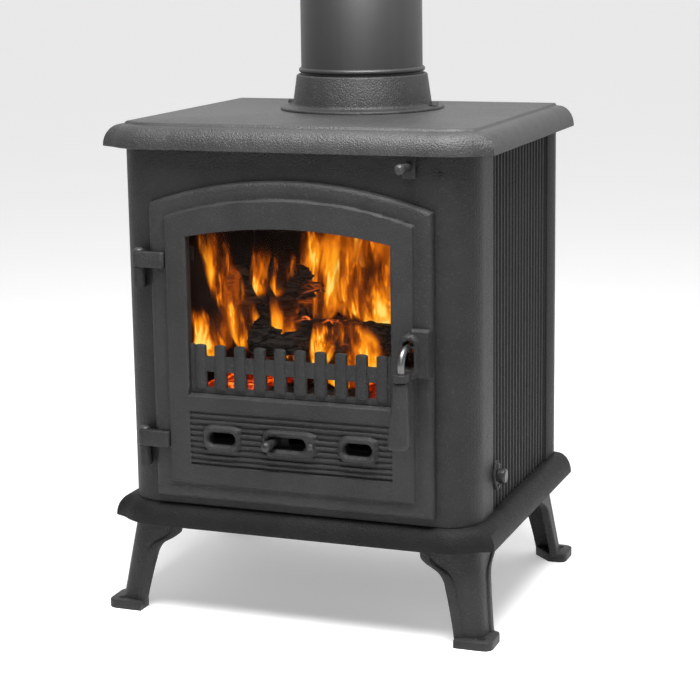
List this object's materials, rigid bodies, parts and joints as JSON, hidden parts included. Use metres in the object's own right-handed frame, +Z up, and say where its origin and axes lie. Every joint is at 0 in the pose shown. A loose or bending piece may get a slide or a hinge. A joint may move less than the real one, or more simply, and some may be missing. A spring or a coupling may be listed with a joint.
{
  "type": "wood burning stove",
  "caption": "Small cast-iron wood burning stove on short splayed legs, with an arched glazed door, fluted sides and a top flue pipe.",
  "frame": {"origin": "On the floor, under the centre of the whole stove's bounding box.", "axes": "+Z is up along the flue pipe. The door faces -Y. +X is to the right of someone who faces the door, whose hinge is on the -X side."},
  "size_m": [0.412, 0.3644, 0.66],
  "materials": {
    "iron": "matt",
    "pipe": "satin",
    "steel": "satin",
    "blackened_steel": "satin",
    "glass": "gloss",
    "rope": "matt",
    "gasket": "matt",
    "firebrick": "matt",
    "charred_wood": "matt",
    "embers": "matt"
  },
  "bodies": {
    "stove": {"ash_pan": "blackened_steel", "back_panel": "iron", "baffle_plate": "iron", "base_plate": "iron", "collar_bolt_left": "blackened_steel", "collar_bolt_right": "blackened_steel", "ember_bed": "embers", "escutcheon_screw_lower": "blackened_steel", "escutcheon_screw_upper": "blackened_steel", "firebrick_left": "firebrick", "firebrick_rear": "firebrick", "firebrick_right": "firebrick", "flue_collar": "iron", "flue_pipe": "pipe", "front_casting": "iron", "grate_frame": "iron", "hinge_pin_lower": "blackened_steel", "hinge_pin_upper": "blackened_steel", "hob_plate": "iron", "latch_keeper": "iron", "leg_front_left": "iron", "leg_front_right": "iron", "leg_rear_left": "iron", "leg_rear_right": "iron", "log_front": "charred_wood", "log_rear": "charred_wood", "log_top": "charred_wood", "riddle_escutcheon": "iron", "side_panel_left": "iron", "side_panel_right": "iron", "tie_bolt_front_left": "blackened_steel", "tie_bolt_front_right": "blackened_steel", "tie_bolt_rear_left": "blackened_steel", "tie_bolt_rear_right": "blackened_steel"},
    "door": {"door_casting": "iron", "log_fence": "iron", "door_glass": "glass", "glass_gasket": "gasket", "glass_clip_lower_left": "blackened_steel", "glass_clip_lower_right": "blackened_steel", "glass_clip_upper_left": "blackened_steel", "glass_clip_upper_right": "blackened_steel", "door_rope": "rope", "slider_guide_lower": "iron", "slider_guide_upper": "iron", "slot_screw": "blackened_steel", "latch_pin": "steel"},
    "latch": {"handle_rod": "steel", "handle_ferrule": "blackened_steel", "handle_grip": "iron", "latch_tongue": "iron"},
    "air_control": {"air_slider": "iron", "air_slider_knob": "blackened_steel"},
    "airwash": {"airwash_slider": "iron", "airwash_knob": "blackened_steel"},
    "riddler": {"riddling_grate": "iron", "riddle_rod": "blackened_steel", "riddle_knob": "blackened_steel"}
  },
  "joints": [
    {"name": "door_hinge", "type": "hinge", "parent": "stove", "child": "door", "pos_m": [-0.1593, -0.1351, 0.265], "axis": [0, 0, -1], "range_deg": [0, 110]},
    {"name": "handle_lift", "type": "hinge", "parent": "door", "child": "latch", "pos_m": [0.1257, -0.1428, 0.2952], "axis": [-1, 0, 0], "range_deg": [0, 35]},
    {"name": "air_slide", "type": "slide", "parent": "door", "child": "air_control", "axis": [1, 0, 0], "range_m": [0, 0.028]},
    {"name": "airwash_slide", "type": "slide", "parent": "stove", "child": "airwash", "axis": [-1, 0, 0], "range_m": [0, 0.04]},
    {"name": "riddle_slide", "type": "slide", "parent": "stove", "child": "riddler", "axis": [1, 0, 0], "range_m": [0, 0.012]}
  ]
}
